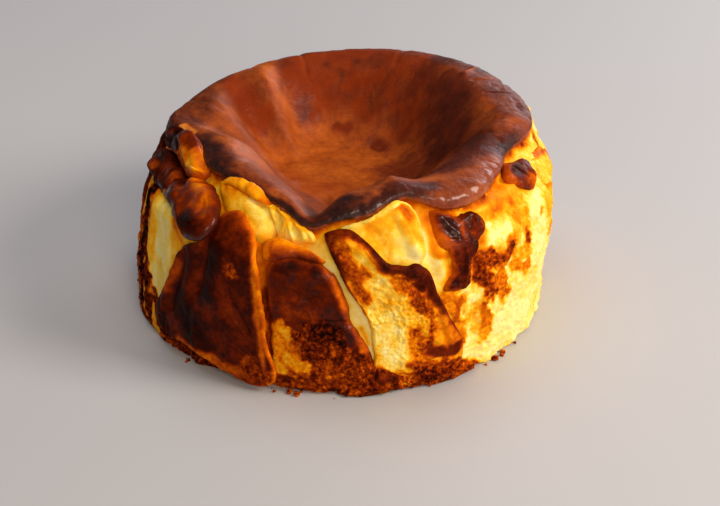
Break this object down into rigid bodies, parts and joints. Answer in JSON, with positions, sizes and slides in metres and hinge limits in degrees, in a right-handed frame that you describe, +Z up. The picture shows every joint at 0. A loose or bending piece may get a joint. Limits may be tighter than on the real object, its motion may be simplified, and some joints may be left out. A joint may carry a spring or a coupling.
{
  "type": "basque cheesecake",
  "caption": "Whole burnt cheesecake: a low round drum with a sunken browned top inside a thick rolled rim, and a creased, scorched wall.",
  "frame": {"origin": "centre of the cake's box at the level of its flat base", "axes": "+Z up out of the dish in the top, -Y towards the notch in the front of the rim, +X to the right as seen from the front"},
  "size_m": [0.1618, 0.164, 0.0755],
  "materials": {
    "baked_cheesecake": "baked custard with a browned skin"
  },
  "bodies": {
    "root": {"cheesecake": "baked_cheesecake"}
  },
  "joints": []
}
